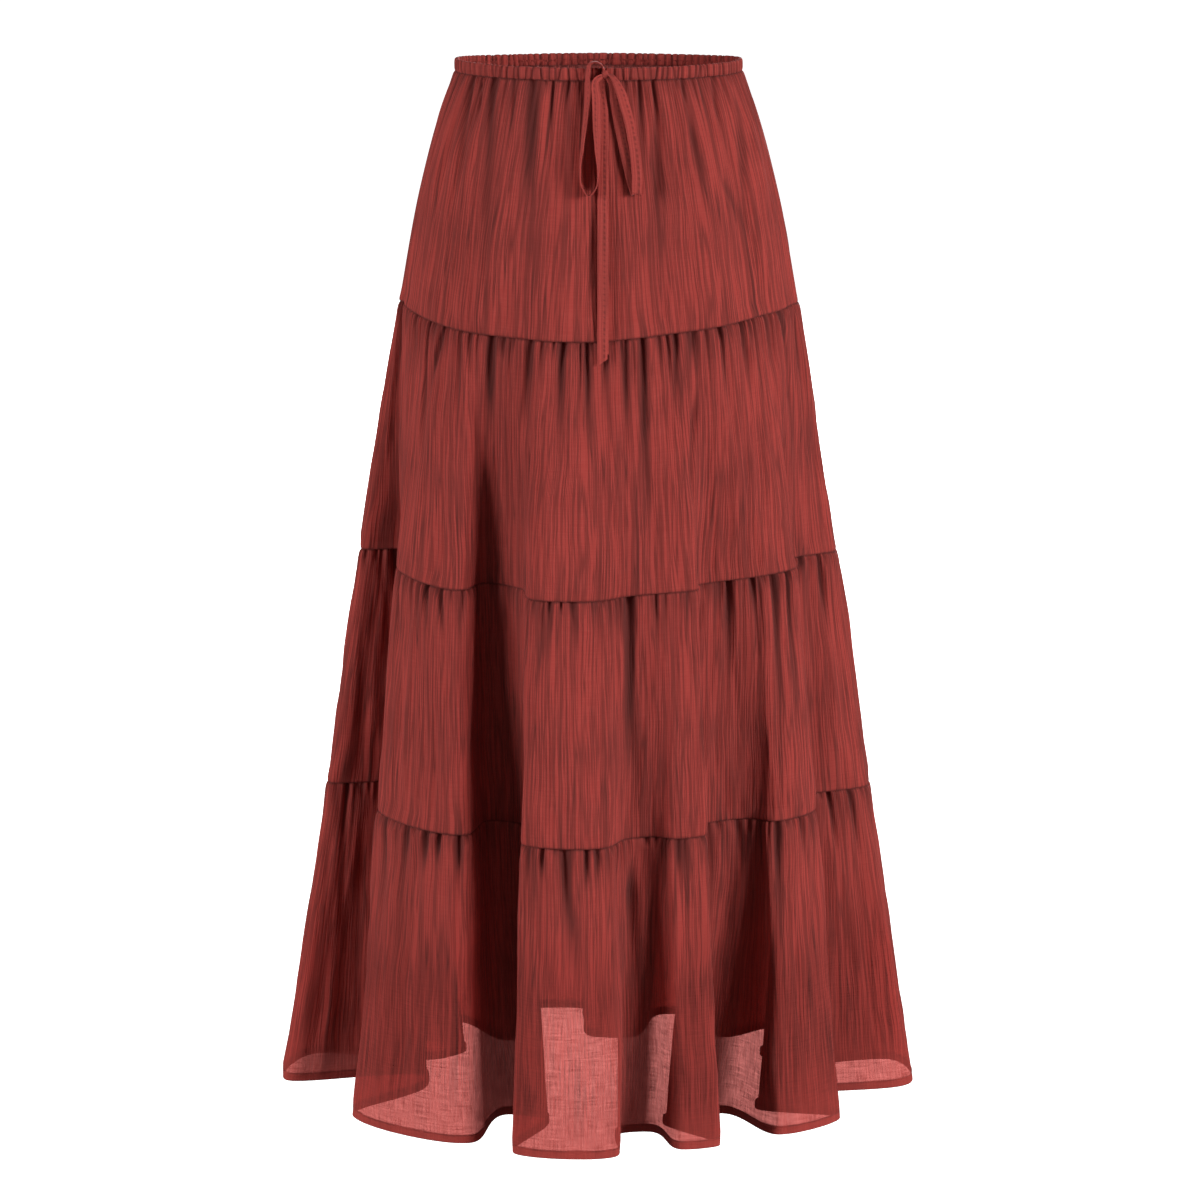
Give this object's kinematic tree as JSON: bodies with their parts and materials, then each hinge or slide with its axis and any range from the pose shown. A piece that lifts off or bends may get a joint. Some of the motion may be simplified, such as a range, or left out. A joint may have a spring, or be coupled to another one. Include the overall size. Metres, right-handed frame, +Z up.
{
  "type": "tiered ruffle skirt",
  "caption": "Long skirt of gathered tiers on a narrow ruched elastic casing, filled out as worn, with a flat drawstring tied in a bow at the front.",
  "frame": {"origin": "middle of the waist opening, level with the casing's top edge at the side seams, where the wearer's waist holds the skirt", "axes": "+Z up, the front with the bow faces -Y, +X to the right as seen from the front"},
  "size_m": [0.5689, 0.4694, 0.9244],
  "materials": {
    "cloth": "sheer crinkled cotton gauze, brick red, matt",
    "casing": "ruched doubled gauze over elastic, brick red, matt",
    "tie": "flat folded self-fabric tie, edge-stitched, matt"
  },
  "bodies": {
    "root": {"waistband_front": "casing", "waistband_back": "casing", "tier_1_front": "cloth", "tier_1_back": "cloth", "tier_2_front": "cloth", "tier_2_back": "cloth", "tier_3_front": "cloth", "tier_3_back": "cloth", "tier_4_front": "cloth", "tier_4_back": "cloth", "drawstring_knot": "tie", "drawstring_loop_left": "tie", "drawstring_loop_right": "tie", "drawstring_tail_back": "tie", "drawstring_tail_front": "tie"}
  },
  "joints": []
}
